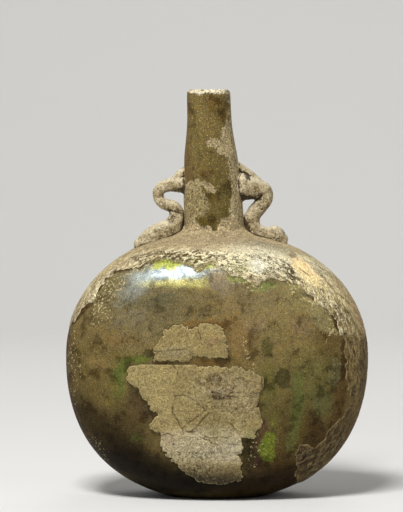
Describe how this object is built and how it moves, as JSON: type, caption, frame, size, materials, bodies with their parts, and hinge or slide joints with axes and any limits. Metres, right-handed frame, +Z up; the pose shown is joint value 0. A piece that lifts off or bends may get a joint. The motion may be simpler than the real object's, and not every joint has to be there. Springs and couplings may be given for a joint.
{
  "type": "bottle",
  "caption": "Free-blown flattened round glass flask with a tapering, slightly leaning neck, two wavy trailed handles and a weathered, partly flaked surface.",
  "frame": {"origin": "on the table, under the middle of the body", "axes": "+Z up through the neck, Y from the front broad face to the back one, X from the left handle to the right one as seen from the front"},
  "size_m": [0.1349, 0.0709, 0.18],
  "materials": {
    "weathered_glass": "olive-brown glass clouded by weathering, satin with an iridescent sheen",
    "crusted_glass": "matt tan weathering over olive glass",
    "shoulder_crust": "matt, pitted cream weathering crust",
    "flank_crust": "matt, flaked brown weathering crust",
    "front_crust": "matt, finely cracked beige weathering crust"
  },
  "bodies": {
    "root": {"flask_body": "weathered_glass", "flask_neck": "weathered_glass", "handle_left": "crusted_glass", "handle_right": "crusted_glass", "pontil_scar": "weathered_glass", "crust_shoulder": "shoulder_crust", "crust_flank": "flank_crust", "crust_front_upper": "front_crust", "crust_front_lower": "front_crust"}
  },
  "joints": []
}
